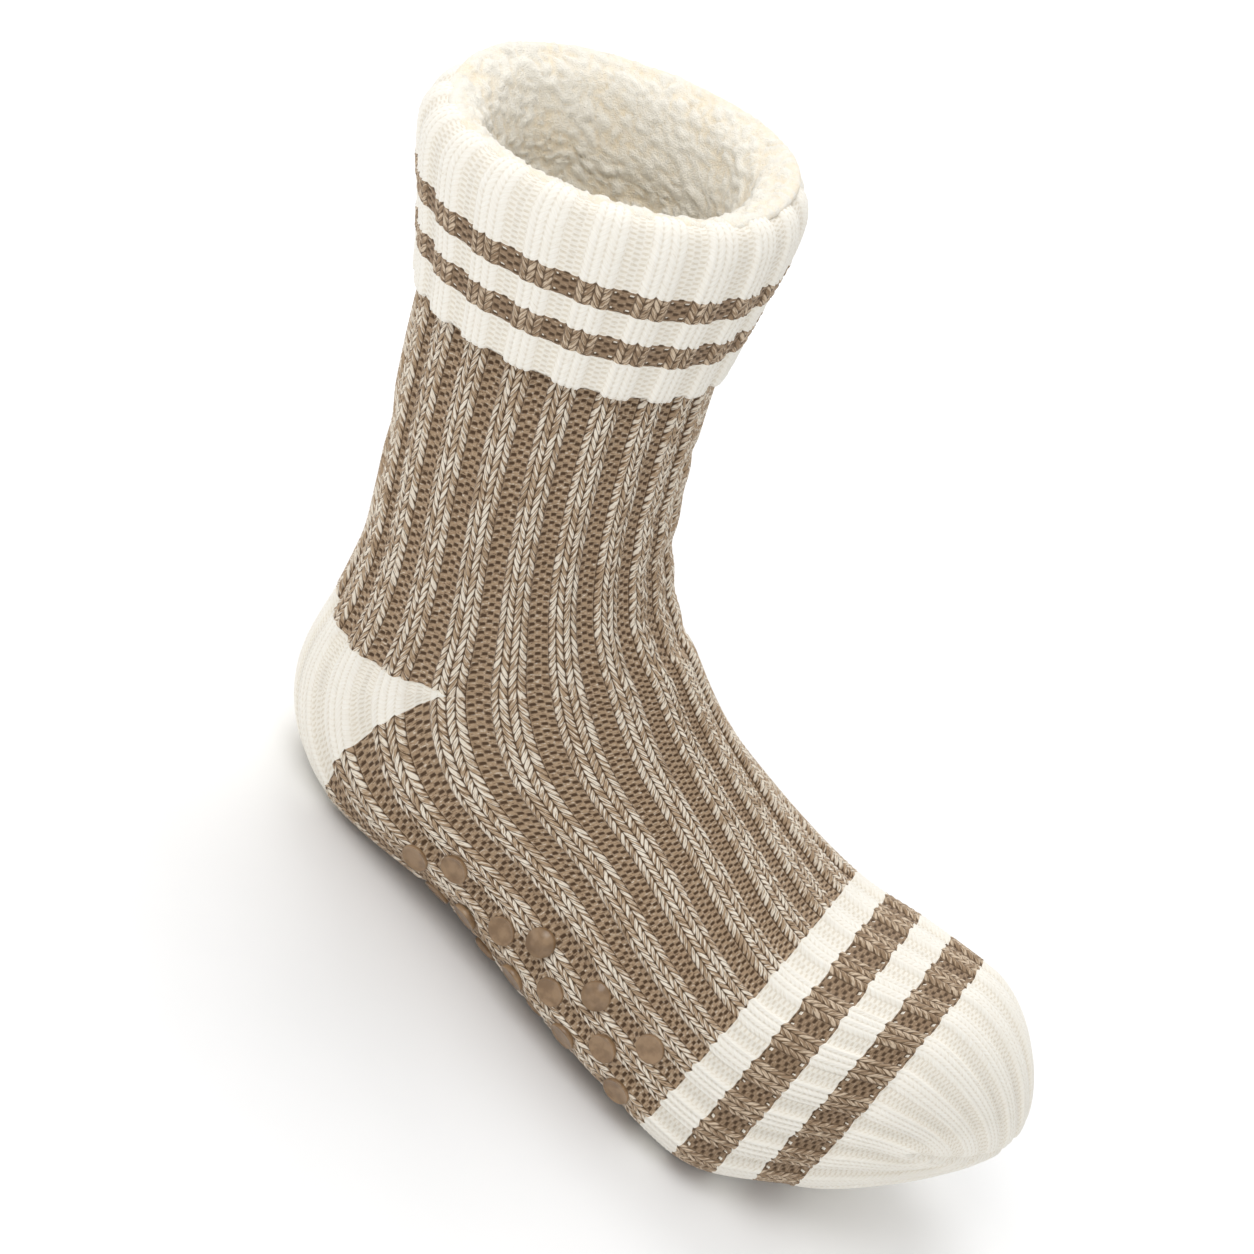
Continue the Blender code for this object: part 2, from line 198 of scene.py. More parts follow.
# Lining: (drop, stand-off) of the crown from the rim's crest to the inside, and how much higher
# and wider the crown is on its far side
CROWN = ((-0.0046, 0.0034), (-0.0058, 0.0028), (-0.0060, 0.0006), (-0.0046, -0.0022),
         (-0.0030, -0.0046), (-0.0006, -0.0066), (0.0034, -0.0080), (0.0095, -0.0086),
         (0.0180, -0.0080))
CROWN_FAR = (0.0034, 0.0022)
CROWN_FAR_SHARE = (0.1, 0.8)
CROWN_FADE = 0.014
LINING_OUTSIDE = KNIT_WALL + 2.0 * GAP
LINING_INSIDE = KNIT_WALL + GAP + PILE
LINING_FLOOR = LINING_OUTSIDE + 0.001
LINING_TOE_STEPS = 8
BACKING_ROWS = (0.25, 0.34)
BACKING_TOE_STEPS = 5
PILE_COLUMNS = 330
PILE_STEP = 0.00075
PILE_COARSE_STEP = 0.0032
PILE_VISIBLE = 0.100
PILE_EDGE_RINGS = 5.0
PILE_LIFT = 0.0013
PILE_FLATNESS = 1.6

# Curls of the pile: the warps' seed, then each noise's scale with its shift or share of the height
PILE_SEED = 7
PILE_WARP = (150.0, 0.0024)
PILE_FINE_WARP = (420.0, 0.0008)
PILE_FINE_PLACE = (7.0, 0.0, 3.0)
PILE_PUFFS = (230.0, 1.32)
PILE_CURLS = (560.0, 0.77)
PILE_SWELL = (80.0, 0.50)

# Grip dots: (share of the radius, height) from the skirt in the knit to the flat top, and the
# knit pressed flat around them, in shares of the diameter
DOT_DIAMETER = 0.0086
DOT_SINK = 0.0003
DOT_LIFT = 0.0008
DOT_PRESS = (0.50, 0.80)
DOT_SIDES = 28
DOT_PROFILE = ((0.96, -0.0012), (0.99, -0.0002), (1.00, 0.00025), (0.985, 0.00050),
               (0.95, 0.00062), (0.90, 0.00062), (0.85, 0.00050), (0.78, 0.00042), (0.40, 0.00042))

# Yarns in order of their numbers: name, dark, middle and light colour in linear values, strength
# of the painted shade in the gaps, contrast of the plies, share of the holes in the gaps, strength
# of the painted shade in the furrows. The dark colour is also the colour of the painted shade.
YARNS = (
    ("taupe_yarn", (0.085, 0.046, 0.021), (0.415, 0.292, 0.182), (0.82, 0.74, 0.62),
     1.00, 1.0, 0.0, 0.10),
    ("cream_yarn", (0.60, 0.51, 0.37), (0.88, 0.843, 0.762), (0.91, 0.885, 0.82),
     0.44, 0.6, 0.7, 0.03),
    ("brown_yarn", (0.085, 0.048, 0.023), (0.300, 0.203, 0.122), (0.66, 0.53, 0.39),
     0.90, 0.8, 0.0, 0.12),
)

# Gaps between strands and bars, as ranges over which painted shade darkens them
STRAND_EDGE = (0.55, 1.0)
LEAF_EDGE = (0.35, 1.0)
HOLE_EDGE = (0.15, 0.85)
PURL_EDGE = (0.38, 0.92)
LEAF_SQUARENESS = 3.0
PURL_SQUARENESS = 4.0

# Plies: scale across and along, and the step of the pattern from strand to strand
PLY_NOISE = (1.4, 3.0)
KNIT_PLIES = (0.9, 1.9, 7.3)
PURL_PLIES = (0.9, 3.6, 5.1)
PURL_PLY_CONTRAST = 0.75
PLY_MIDDLE = (0.48, 0.52)
PLY_SPREAD = 0.16
STITCH_TONE = 0.18
# The plies' shade is raised on the knit strands and lowered in the furrows; the furrows' lower shade
# is painted shade
KNIT_LIFT = 0.09
PURL_LIFT = -0.01

# Pile, silicone and floor colours, linear
# The pile's low colour is tan painted shade for the hollows between the curls
PILE_PAINTED_SHADE = (0.93, 0.81, 0.61)
PILE_HIGH = (0.93, 0.885, 0.78)
PILE_TIPS = (0.93, 0.90, 0.83)
PILE_TIP_SHARE = 0.35
SILICONE = ((0.200, 0.118, 0.056), (0.300, 0.190, 0.100))
FLOOR = ((0.93, 0.93, 0.93), (0.955, 0.955, 0.955))

# Camera, as fitted to the photograph, in pixels and degrees
IMAGE_SIDE = 1254.0
IMAGE_MIDDLE = (699.1, 665.3)
CAMERA_AZIMUTH = 2.18
CAMERA_ELEVATION = 30.95
CAMERA_ROLL = 39.79
CAMERA_DISTANCE = 1.6964
CAMERA_FOCUS = 6278.6
CAMERA_TARGET = (0.090, 0.0, 0.100)
CAMERA_REACH = 20.0
SENSOR = 36.0

# Studio. A lamp is its name, place, target, size and power.
FLOOR_SIDE = 12.0
SKY_STRENGTH = 0.79
LAMPS = (
    ("key", (-0.66, 0.80, 1.30), (0.0, 0.0, 0.06), 1.1, 8.5),
    ("fill", (-0.55, -0.85, 1.50), (0.0, 0.0, 0.10), 1.2, 8.5),
)


def natural_spline(values):
    """Second derivatives of a natural cubic through evenly spaced rows."""
    count = len(values)
    system = np.zeros((count, count))
    right = np.zeros_like(values)
    system[0, 0] = 1.0
    system[-1, -1] = 1.0
    for i in range(1, count - 1):
        system[i, i - 1:i + 2] = (1.0, 4.0, 1.0)
        right[i] = 6.0 * (values[i + 1] - 2.0 * values[i] + values[i - 1])
    return np.linalg.solve(system, right)


def spline_at(values, curves, v):
    """The cubic's values at row v."""
    i = min(int(v), len(values) - 2)
    t = v - i
    s = 1.0 - t
    even = s * values[i] + t * values[i + 1]
    return even + ((s ** 3 - s) * curves[i] + (t ** 3 - t) * curves[i + 1]) / 6.0


def smooth_step(value, low, high):
    """0 up to low, 1 from high on and a soft rise between."""
    t = np.clip((value - low) / (high - low), 0.0, 1.0)
    return t * t * (3.0 - 2.0 * t)


ROW_SCALE = np.array((FOOT_LENGTH, LEG_HEIGHT, FOOT_LENGTH, LEG_HEIGHT, FOOT_WIDTH, 1.0))
ROWS = np.array(SECTIONS) * ROW_SCALE
CURVES = natural_spline(ROWS)
FORM_ROWS = np.concatenate((np.linspace(0.0, LAST_ROW, LAST_ROW * ROW_STEPS + 1),
                            LAST_ROW + np.linspace(0.0, 1.0, TOE_STEPS + 1)[1:]))


def section(v, inset):
    """Centre, half depth, half width and lower bend at row v, moved inward by inset."""
    row = spline_at(ROWS, CURVES, v)
    front = np.array((row[0], 0.0, row[1]))
    back = np.array((row[2], 0.0, row[3]))
    half = (front - back) / 2.0
    half *= 1.0 - inset / np.linalg.norm(half)
    return (front + back) / 2.0, half, row[4] - inset, row[5]


def half_oval(bend, runs, flatness):
    """(front, side) shares at shares of the run along a half oval of that flatness."""
    angles = np.linspace(-math.pi / 2.0, math.pi / 2.0, OVAL_STEPS)
    front = np.abs(np.cos(angles)) ** (2.0 / bend)
    side = np.sign(angles) * np.abs(np.sin(angles)) ** (2.0 / bend)
    steps = np.hypot(np.diff(front) * flatness, np.diff(side))
    run = np.concatenate(([0.0], np.cumsum(steps)))
    marks = runs * run[-1]
    return np.interp(marks, run, front), np.interp(marks, run, side)


def ring(v, inset, shares):
    """Points of the form at row v and at shares of the turn, from the near side over the front."""
    centre, half, width, bend = section(min(v, LAST_ROW), inset)
    rounding = 0.0
    flatness = 1.0
    if v > LAST_ROW:
        closing = math.sin(math.pi / 2.0 * min(v - LAST_ROW, 1.0))
        flatness = max(1.0 - closing ** TOE_CLOSING, 0.0) ** (1.0 / TOE_CLOSING)
        half = half * flatness
        width += (TOE_SEAM_WIDTH / 2.0 - inset - width) * closing ** 3
        seam = np.array((FOOT_LENGTH - inset, 0.0, TOE_SEAM_HEIGHT))
        centre = centre + (seam - centre) * closing
        rounding = TOE_ROUNDING * closing
    upper = shares < 0.5
    front = np.empty_like(shares)
    side = np.empty_like(shares)
    front[upper], side[upper] = half_oval(LEG_BEND, shares[upper] * 2.0, flatness)
    below_front, below_side = half_oval(bend, shares[~upper] * 2.0 - 1.0, flatness)
    front[~upper] = -below_front
    side[~upper] = -below_side
    y = width * side
    points = centre + front[:, None] * half
    points[:, 0] -= rounding * (2.0 * y / FOOT_WIDTH) ** 2
    start = FOOT_CURVE_START * FOOT_LENGTH
    reach = np.maximum(points[:, 0] - start, 0.0) / (FOOT_LENGTH - start)
    points[:, 1] = y + FOOT_CURVE * reach ** 3
    points[:, 2] = np.maximum(points[:, 2], inset)
    return points


def column_places():
    """Share of the turn and strand coordinate of each column."""
    knit = COLUMNS_PER_RIB // 2
    shares = []
    across = []
    for rib in range(RIB_COUNT):
        for k in range(COLUMNS_PER_RIB):
            if k < knit:
                local = KNIT_SHARE * (k / knit - 0.5)
            else:
                local = KNIT_SHARE / 2.0 + (1.0 - KNIT_SHARE) * (k - knit) / knit
            shares.append((rib + local) / RIB_COUNT)
            across.append(rib * STRANDS_PER_RIB + k / COLUMNS_PER_STRAND)
    return np.array(shares), np.array(across)


# Of each column: its place in the rib's strands, in the furrow's bars and in its own strand, how
# much its stitches lead, and its nearness to the back, which is 0 on the sides
SHARES, ACROSS = column_places()
STRAND = ACROSS % STRANDS_PER_RIB
PURL = STRAND >= KNIT_STRANDS
PURL_PLACE = (STRAND - KNIT_STRANDS) / KNIT_STRANDS * PURL_COLUMNS
WITHIN = STRAND % 1.0
LIFT = np.where(PURL, 0.0, np.where(STRAND.astype(int) % 2 == 0, WITHIN, 1.0 - WITHIN))
BEHIND = np.clip(1.0 - np.abs(SHARES % 1.0 - BACK_SHARE) / SIDE_TO_BACK, 0.0, 1.0)


def rib_sink():
    """How far each column lies below the rib's top, as a share of the furrow's depth."""
    turn = (SHARES * RIB_COUNT + 0.5) % 1.0 - 0.5
    edge = KNIT_SHARE / 2.0
    fall = smooth_step(np.abs(turn), edge * RIB_EDGE[0], edge * RIB_EDGE[1])
    return fall + RIB_ROUNDING * (turn / edge) ** 2


def stitch_relief(w, rows_per_stitch):
    """Height of the stitches of each column at stitch coordinate w."""
    fine = CREAM_RELIEF if rows_per_stitch == CREAM_ROWS else 1.0
    leaf = np.sin(math.pi * ((w + SKEW * LIFT) % 1.0)) ** LEAF_FULLNESS
    bar = 1.0 - np.abs(2.0 * WITHIN - 1.0) ** STRAND_FULLNESS
    knit = STRAND_HEIGHT * fine * bar * (LEAF_WAIST + (1.0 - LEAF_WAIST) * leaf)
    column = np.floor(PURL_PLACE)
    phase = np.where(column == 1.0, MIDDLE_PHASE, OUTER_PHASE)
    ends = 1.0 - (2.0 * (PURL_PLACE - column) - 1.0) ** 4
    wave = np.cos(2.0 * math.pi * (w - phase)) * ends
    purl = PURL_HEIGHT * fine * (0.5 + 0.5 * wave)
    return np.where(PURL, purl, knit)


RIB = rib_sink()
RELIEF = {per: np.array([stitch_relief(k / RELIEF_STEPS, per) for k in range(RELIEF_STEPS)])
          for per in (TAUPE_ROWS, CREAM_ROWS)}


def column_heights(column, w, creamy):
    """Height of the stitches along one column at its stitch coordinates w."""
    steps = np.rint((w % 1.0) * RELIEF_STEPS).astype(int) % RELIEF_STEPS
    return np.where(creamy, RELIEF[CREAM_ROWS][steps, column], RELIEF[TAUPE_ROWS][steps, column])


def stitch_marks(bands):
    """Stitch coordinates of the rows of bands, given as (rows, rows per stitch, yarn)."""
    marks = [0.0]
    for rows, per, _ in bands:
        marks += [marks[-1] + (k + 1) / per for k in range(rows)]
    return np.array(marks)


BAND_MARKS = stitch_marks(TOE_BANDS)
BAND_ROWS = len(BAND_MARKS) - 1


class Lattice:
    """Points, faces and stitch coordinates of a knitted surface."""

    def __init__(self):
        self.points = []
        self.faces = []
        self.across = []
        self.along = []
        self.yarn = []
        self.piece = []

    def add_points(self, points):
        start = sum(len(p) for p in self.points)
        self.points.append(points)
        return np.arange(start, start + len(points))

    def add_face(self, corners, across, along, yarn, piece, flip=False):
        step = -1 if flip else 1
        self.faces.append(corners[::step])
        self.across.append(across[::step])
        self.along.append(along[::step])
        self.yarn.append(yarn)
        self.piece.append(piece)


def corner_across(c):
    """Strand coordinates of a column and of the next one, without a jump at the turn's end."""
    left = ACROSS[c]
    return left, ACROSS[c + 1] if c + 1 < COLUMNS else float(RIB_COUNT * STRANDS_PER_RIB)


def add_grid(lattice, index, along, yarns, piece):
    """Quads between full rows. yarns gives the yarn of each band of faces at each column."""
    for c in range(COLUMNS):
        n = (c + 1) % COLUMNS
        left, right = corner_across(c)
        for r in range(len(index) - 1):
            low, high = along[r], along[r + 1]
            lattice.add_face((index[r][c], index[r + 1][c], index[r + 1][n], index[r][n]),
                             (left, left, right, right), (low, high, high, low),
                             yarns[r][c], piece)


def add_zipped(lattice, a, b, across, along, piece, flip=False):
    """Cream faces between two columns of unlike length that start on the same row."""
    left, right = across
    short = min(len(a), len(b))
    for r in range(short - 1):
        low, high = along[r], along[r + 1]
        lattice.add_face((a[r], a[r + 1], b[r + 1], b[r]), (left, left, right, right),
                         (low, high, high, low), CREAM, piece, flip)
    left_longer = len(a) > len(b)
    longer, other = (a, b) if left_longer else (b, a)
    side, tip = (left, right) if left_longer else (right, left)
    for r in range(short - 1, len(longer) - 1):
        lattice.add_face((longer[r], longer[r + 1], other[-1]), (side, side, tip),
                         (along[r], along[r + 1], along[short - 1]), CREAM, piece,
                         flip == left_longer)


def grid_normals(points):
    """Outward normals of a grid of points whose rows run down and columns to the right."""
    down = np.gradient(points, axis=0)
    around = np.roll(points, -1, axis=1) - np.roll(points, 1, axis=1)
    normals = np.cross(down, around)
    # A trace outward, for rows that are closed to a line
    normals += 1e-9 * (points - points.mean(axis=1, keepdims=True))
    return normals / np.maximum(np.linalg.norm(normals, axis=2, keepdims=True), 1e-15)


class Wales:
    """A surface along each column, looked up by the length from its first row."""

    def __init__(self, points):
        self.points = points
        self.normals = grid_normals(points)
        steps = np.linalg.norm(np.diff(self.points, axis=0), axis=2)
        self.length = np.vstack((np.zeros(COLUMNS), np.cumsum(steps, axis=0)))

    def length_at(self, column, v):
        return float(np.interp(v, FORM_ROWS, self.length[:, column]))

    def length_at_x(self, column, x):
        """The length at which the column passes x on the foot."""
        first = ROW_STEPS * FIRST_FOOT_ROW
        xs = self.points[first:, column, 0]
        return float(np.interp(x, xs, self.length[first:, column]))

    def look_up(self, column, lengths):
        """Points and normals at lengths along the column."""
        table = self.length[:, column]
        points = [np.interp(lengths, table, self.points[:, column, k]) for k in range(3)]
        normals = [np.interp(lengths, table, self.normals[:, column, k]) for k in range(3)]
        normals = np.array(normals).T
        normals /= np.linalg.norm(normals, axis=1, keepdims=True)
        return np.array(points).T, normals


def sole_fade(points):
    """Share of the ribs' depth that is left under the sole."""
    return SOLE_RELIEF + (1.0 - SOLE_RELIEF) * smooth_step(points[:, 2], *SOLE_FADE)


def relief_depth(column, points, rows, heights, sink):
    """How far the points of one column, at those rows of the form, stand off it."""
    depth = heights - RIB_SINK * RIB[column] * sink * sole_fade(points) - LATTICE_SINK
    for row, share, reach, spread, fall in CREASES:
        around = ((SHARES[column] - share + 0.5) % 1.0 - 0.5) / reach
        fold = np.exp(-((rows - row) / spread) ** 2 - around ** 2)
        depth -= fall * (1.0 - CREASE_LOSS * RIB[column]) * fold
    return depth


def dot_relief(points, centres):
    """How much of the relief is left next to the grip dots."""
    apart = np.linalg.norm(points[:, None, :] - centres[None, :, :], axis=2).min(axis=1)
    return smooth_step(apart, DOT_DIAMETER * DOT_PRESS[0], DOT_DIAMETER * DOT_PRESS[1])


def toe_depth(column, depth, before_end):
    """The relief drawn in towards the toe seam, with a lip and a groove beside it."""
    near = 1.0 - smooth_step(before_end, TOE_LIP_RUN, TOE_FADE_RUN)
    groove = 1.0 - smooth_step(before_end, 0.0, TOE_GROOVE_RUN)
    lip = TOE_LIP * (1.0 - TOE_LIP_DIP * RIB[column]) * (1.0 - TOE_GROOVE * groove)
    return depth + near * (TOE_RELIEF * depth + lip - depth)


def raised(points, normals, depth):
    """The points moved along their normals, and kept off the floor."""
    out = points + normals * depth[:, None]
    out[:, 2] = np.maximum(out[:, 2], FLOOR_CLEARANCE)
    return out


def band_yarns(bands, before, after):
    """Yarn of each row of faces at each column, with the furrows' dashes at colour changes."""
    rows = []
    kinds = [before] + [band[2] for band in bands] + [after]
    place = PURL_PLACE % 1.0
    dashes = PURL & (np.floor(PURL_PLACE) != 1.0) & (place > DASH[0]) & (place < DASH[1])
    for i, (count, per, yarn) in enumerate(bands):
        for r in range(count):
            row = np.full(COLUMNS, yarn)
            if per == TAUPE_ROWS and r == 1:
                row[dashes] = kinds[i]
            if per == TAUPE_ROWS and r == count - 2:
                row[dashes] = kinds[i + 2]
            rows.append(row)
    return rows


def column_marks(wales, c):
    """Rows at which the parts of a column meet, and the length along it at each."""
    behind = BEHIND[c]
    heel = int(round(HEEL_ROWS * behind))
    lengths = np.array((0.0,
                        wales.length_at(c, HEEL_APEX - behind * HEEL_UP),
                        wales.length_at(c, HEEL_APEX + behind * HEEL_MITRE),
                        wales.length_at(c, HEEL_APEX + behind * HEEL_DOWN),
                        wales.length_at_x(c, BAND_START),
                        wales.length_at_x(c, BAND_END),
                        wales.length[-1, c]))
    cap = max(int(round((lengths[-1] - lengths[-2]) / CAP_ROW)), LEAST_CAP_ROWS)
    return np.cumsum([0, LEG_ROWS, heel, heel, FOOT_ROWS, BAND_ROWS, cap]), lengths


def chevron_places(c, rows, marks, creamy):
    """The rows' places along a column, shifted so that the stitches lean within their wale."""
    shift = np.where(creamy, CREAM_CHEVRON * CREAM_ROWS, CHEVRON * TAUPE_ROWS)
    shift[marks[4]:marks[5]] = STRIPE_CHEVRON * TAUPE_ROWS
    window = 2 * CHEVRON_BLEND + 1
    shift = np.convolve(np.pad(shift, CHEVRON_BLEND, mode="edge"),
                        np.full(window, 1.0 / window), mode="valid")
    places = rows - shift * LIFT[c] * np.clip(rows / CHEVRON_START, 0.0, 1.0)
    places[marks[2]] = marks[2]
    places[-1] = rows[-1]
    return places


def column_stitches(rows, marks):
    """Stitch coordinates along a column. Below the mitre the heel's run backwards."""
    band = np.clip(rows - marks[4], 0, BAND_ROWS).astype(int)
    return np.select(
        (rows > marks[5], rows > marks[4], rows >= marks[3], rows > marks[2], rows > marks[1]),
        ((rows - marks[5]) / CREAM_ROWS, BAND_MARKS[band], (rows - marks[3]) / TAUPE_ROWS,
         (rows - marks[3]) / CREAM_ROWS, (rows - marks[1]) / CREAM_ROWS),
        rows / TAUPE_ROWS)


def column_sink(rows, marks):
    """Share of the furrows' depth along a column: less in the heel cup and towards the toe."""
    into_heel = np.minimum(rows - marks[1], marks[3] - rows) / HEEL_CUP_ROWS
    sink = 1.0 - HEEL_SHALLOWNESS * np.clip(into_heel, 0.0, 1.0)
    first, last = (marks[4] + rows_on for rows_on in TOE_SHALLOWING)
    return sink - TOE_SHALLOWNESS * smooth_step(rows, first, last)


def knit_lattice(wales, centres):
    """The sock's knit from under the cuff to the toe seam, pressed flat at the dots' centres."""
    lattice = Lattice()
    parts = [[] for _ in range(6)]
    for c in range(COLUMNS):
        marks, lengths = column_marks(wales, c)
        rows = np.arange(marks[-1] + 1, dtype=float)
        creamy = ((rows > marks[1]) & (rows < marks[3])) | (rows > marks[5])
        keep = np.concatenate(([True], np.diff(marks) > 0))
        run = np.interp(chevron_places(c, rows, marks, creamy), marks[keep], lengths[keep])
        points, normals = wales.look_up(c, run)
        heights = column_heights(c, column_stitches(rows, marks), creamy)
        form_rows = np.interp(run, wales.length[:, c], FORM_ROWS)
        depth = relief_depth(c, points, form_rows, heights, column_sink(rows, marks))
        depth += (1.0 - dot_relief(points, centres)) * (-DOT_SINK - depth)
        depth = toe_depth(c, depth, lengths[-1] - run)
        index = lattice.add_points(raised(points, normals, depth))
        for part, first, last in zip(parts, marks, marks[1:]):
            part.append(index[first:last + 1])
    leg, ups, downs, foot, bands, caps = parts
    taupe = [np.full(COLUMNS, TAUPE)] * max(LEG_ROWS, FOOT_ROWS)
    taupe_w = np.arange(len(taupe) + 1) / TAUPE_ROWS
    add_grid(lattice, np.array(leg).T, taupe_w, taupe, "knit_leg")
    add_grid(lattice, np.array(foot).T, taupe_w, taupe, "knit_foot")
    add_grid(lattice, np.array(bands).T, BAND_MARKS, band_yarns(TOE_BANDS, TAUPE, CREAM), "knit_toe")
    cream_w = np.arange(max(len(run) for run in ups + caps)) / CREAM_ROWS
    for c in range(COLUMNS):
        n = (c + 1) % COLUMNS
        across = corner_across(c)
        if BEHIND[c] > 0.0 or BEHIND[n] > 0.0:
            add_zipped(lattice, ups[c], ups[n], across, cream_w, "knit_heel")
            add_zipped(lattice, downs[c][::-1], downs[n][::-1], across, -cream_w, "knit_heel", True)
        add_zipped(lattice, caps[c], caps[n], across, cream_w, "knit_toe")
    close_toe(lattice, caps)
    return lattice


def close_toe(lattice, caps):
    """Joins the upper and the lower end of the tube along the toe seam."""
    first = COLUMNS_PER_RIB // 4
    half = COLUMNS // 2
    for k in range(half):
        a, b = first + k, first + k + 1
        c, d = (first - k) % COLUMNS, (first - k - 1) % COLUMNS
        corners = [caps[a][-1], caps[c][-1], caps[d][-1], caps[b][-1]]
        across = [ACROSS[a], ACROSS[a], ACROSS[b], ACROSS[b]]
        along = [0.0, SEAM_STITCH, SEAM_STITCH, 0.0]
        # A corner is given twice at either end of the seam
        drop = 1 if k == 0 else 2 if k == half - 1 else None
        if drop is not None:
            del corners[drop], across[drop], along[drop]
        lattice.add_face(corners, across, along, CREAM, "knit_toe")


def vertex_normals(points, faces):
    """Area-weighted normals, with faces as rows of four corners (a triangle repeats its last)."""
    a, b, c, d = (points[faces[:, k]] for k in range(4))
    face = np.cross(c - a, d - b)
    normals = np.zeros_like(points)
    for k in range(4):
        np.add.at(normals, faces[:, k], face)
    return normals / np.maximum(np.linalg.norm(normals, axis=1, keepdims=True), 1e-15)


def link(obj):
    """Puts an object in the scene."""
    bpy.context.scene.collection.objects.link(obj)
    return obj


def lattice_piece(name, lattice, points, normals, materials):
    """The object of one piece of a lattice, with its stitch coordinates in a layer."""
    chosen = [i for i, piece in enumerate(lattice.piece) if piece == name]
    counts = np.array([len(lattice.faces[i]) for i in chosen])
    starts = np.concatenate(([0], np.cumsum(counts)[:-1]))
    corners = np.concatenate([lattice.faces[i] for i in chosen])
    used, corners = np.unique(corners, return_inverse=True)
    mesh = bpy.data.meshes.new(name)
    mesh.vertices.add(len(used))
    mesh.vertices.foreach_set("co", points[used].astype(np.float32).ravel())
    mesh.loops.add(len(corners))
    mesh.loops.foreach_set("vertex_index", corners.astype(np.int32))
    mesh.polygons.add(len(counts))
    mesh.polygons.foreach_set("loop_start", starts.astype(np.int32))
    mesh.polygons.foreach_set("loop_total", counts.astype(np.int32))
    yarns = np.array([lattice.yarn[i] for i in chosen], np.int32)
    mesh.polygons.foreach_set("material_index", yarns)
    for material in materials:
        mesh.materials.append(material)
    layer = mesh.uv_layers.new(name="stitches")
    pairs = np.stack((np.concatenate([lattice.across[i] for i in chosen]),
                      np.concatenate([lattice.along[i] for i in chosen])), axis=1)
    layer.data.foreach_set("uv", pairs.astype(np.float32).ravel())
    mesh.update(calc_edges=True)
    mesh.shade_smooth()
    mesh.normals_split_custom_set_from_vertices(normals[used].tolist())
    return link(bpy.data.objects.new(name, mesh))


def lattice_pieces(lattice, names, materials, offset):
    """Objects for the named pieces of a lattice, shaded as one surface."""
    points = np.concatenate(lattice.points) + offset
    square = np.array([f if len(f) == 4 else (*f, f[-1]) for f in lattice.faces])
    normals = vertex_normals(points, square)
    return [lattice_piece(name, lattice, points, normals, materials) for name in names]


def plain_object(name, points, faces, material):
    """An object from lists of points and faces, in one material."""
    mesh = bpy.data.meshes.new(name)
    mesh.from_pydata(points, [], faces)
    mesh.materials.append(material)
    mesh.shade_smooth()
    return link(bpy.data.objects.new(name, mesh))


def row_at_drop(drop):
    """The row of the form that lies drop below the collar, along the leg's middle."""
    steps = np.linspace(0.0, LAST_LEG_ROW, LEG_STEPS)
    middles = np.array([section(v, 0.0)[0] for v in steps])
    runs = np.linalg.norm(middles - middles[0], axis=1)
    return float(np.interp(drop, runs, steps))


def collar_ring(drop, stand_off, shares):
    """A ring of the leg's form, drop below the collar and stand_off outside its wall."""
    if drop > 0.0:
        return ring(row_at_drop(drop), -stand_off, shares)
    half = section(0.0, 0.0)[1]
    up = np.array((-half[2], 0.0, half[0])) / np.linalg.norm(half)
    return ring(0.0, -stand_off, shares) - up * drop


def smooth_profile(knots, step):
    """(drop, stand-off) pairs at even steps of the run along a smooth curve through the knots."""
    knots = np.array(knots)
    curves = natural_spline(knots)
    fine = np.array([spline_at(knots, curves, v)
                     for v in np.linspace(0.0, len(knots) - 1, SPLINE_STEPS * len(knots))])
    runs = np.concatenate(([0.0], np.cumsum(np.linalg.norm(np.diff(fine, axis=0), axis=1))))
    marks = np.linspace(0.0, runs[-1], int(runs[-1] / step))
    return [(np.interp(m, runs, fine[:, 0]), np.interp(m, runs, fine[:, 1])) for m in marks]


def cuff_profile():
    """From inside the rim over its crest, down the outside and round the hem."""
    outside = [(CUFF_HANG * d - RIM_RISE, GAP + CUFF_THICKNESS + CUFF_FLARE * s)
               for d, s in CUFF_OUTSIDE]
    shoulder, reach = outside[0]
    middle = (reach - KNIT_WALL) / 2.0
    rim = []
    for a in np.linspace(math.pi, 0.0, RIM_TURNS + 1)[:-1]:
        rim.append((shoulder - (RIM_RISE + shoulder) * math.sin(a),
                    middle + (reach - middle) * math.cos(a)))
    hem = [(CUFF_HANG * d - RIM_RISE, GAP + CUFF_THICKNESS * s) for d, s in HEM_ROUNDING]
    return smooth_profile(rim + outside + hem, PROFILE_STEP)


def cuff_lattice():
    """The ribbed cuff, from inside the rim over the crest to the hem."""
    wales = Wales(np.array([collar_ring(d, s, SHARES % 1.0) for d, s in cuff_profile()]))
    lattice = Lattice()
    marks = -stitch_marks(CUFF_BANDS)
    last = len(marks) - 1
    per_row = np.concatenate([np.full(rows, per) for rows, per, _ in CUFF_BANDS] + [[CREAM_ROWS]])
    rows = np.arange(last + 1, dtype=float)
    edge = np.clip(np.minimum(rows, last - rows) / CUFF_EDGE_ROWS, 0.0, 1.0)
    sink = smooth_step(rows, *RIM_ROWS)
    sink *= 1.0 - HEM_SHALLOWNESS * smooth_step(rows, last + 1.0 - HEM_ROWS, float(last))
    index = []
    for c in range(COLUMNS):
        places = rows - (CUFF_CHEVRON * per_row * LIFT[c] - CUFF_SAG * RIB[c]) * edge
        run = np.interp(places, (0.0, last), (0.0, wales.length[-1, c]))
        points, normals = wales.look_up(c, run)
        heights = column_heights(c, marks, per_row == CREAM_ROWS)
        depth = heights - CUFF_RIB_SINK * RIB[c] * sink
        index.append(lattice.add_points(raised(points, normals, depth)))
    add_grid(lattice, np.array(index).T, marks, band_yarns(CUFF_BANDS, CREAM, CREAM), "cuff_knit")
    return lattice


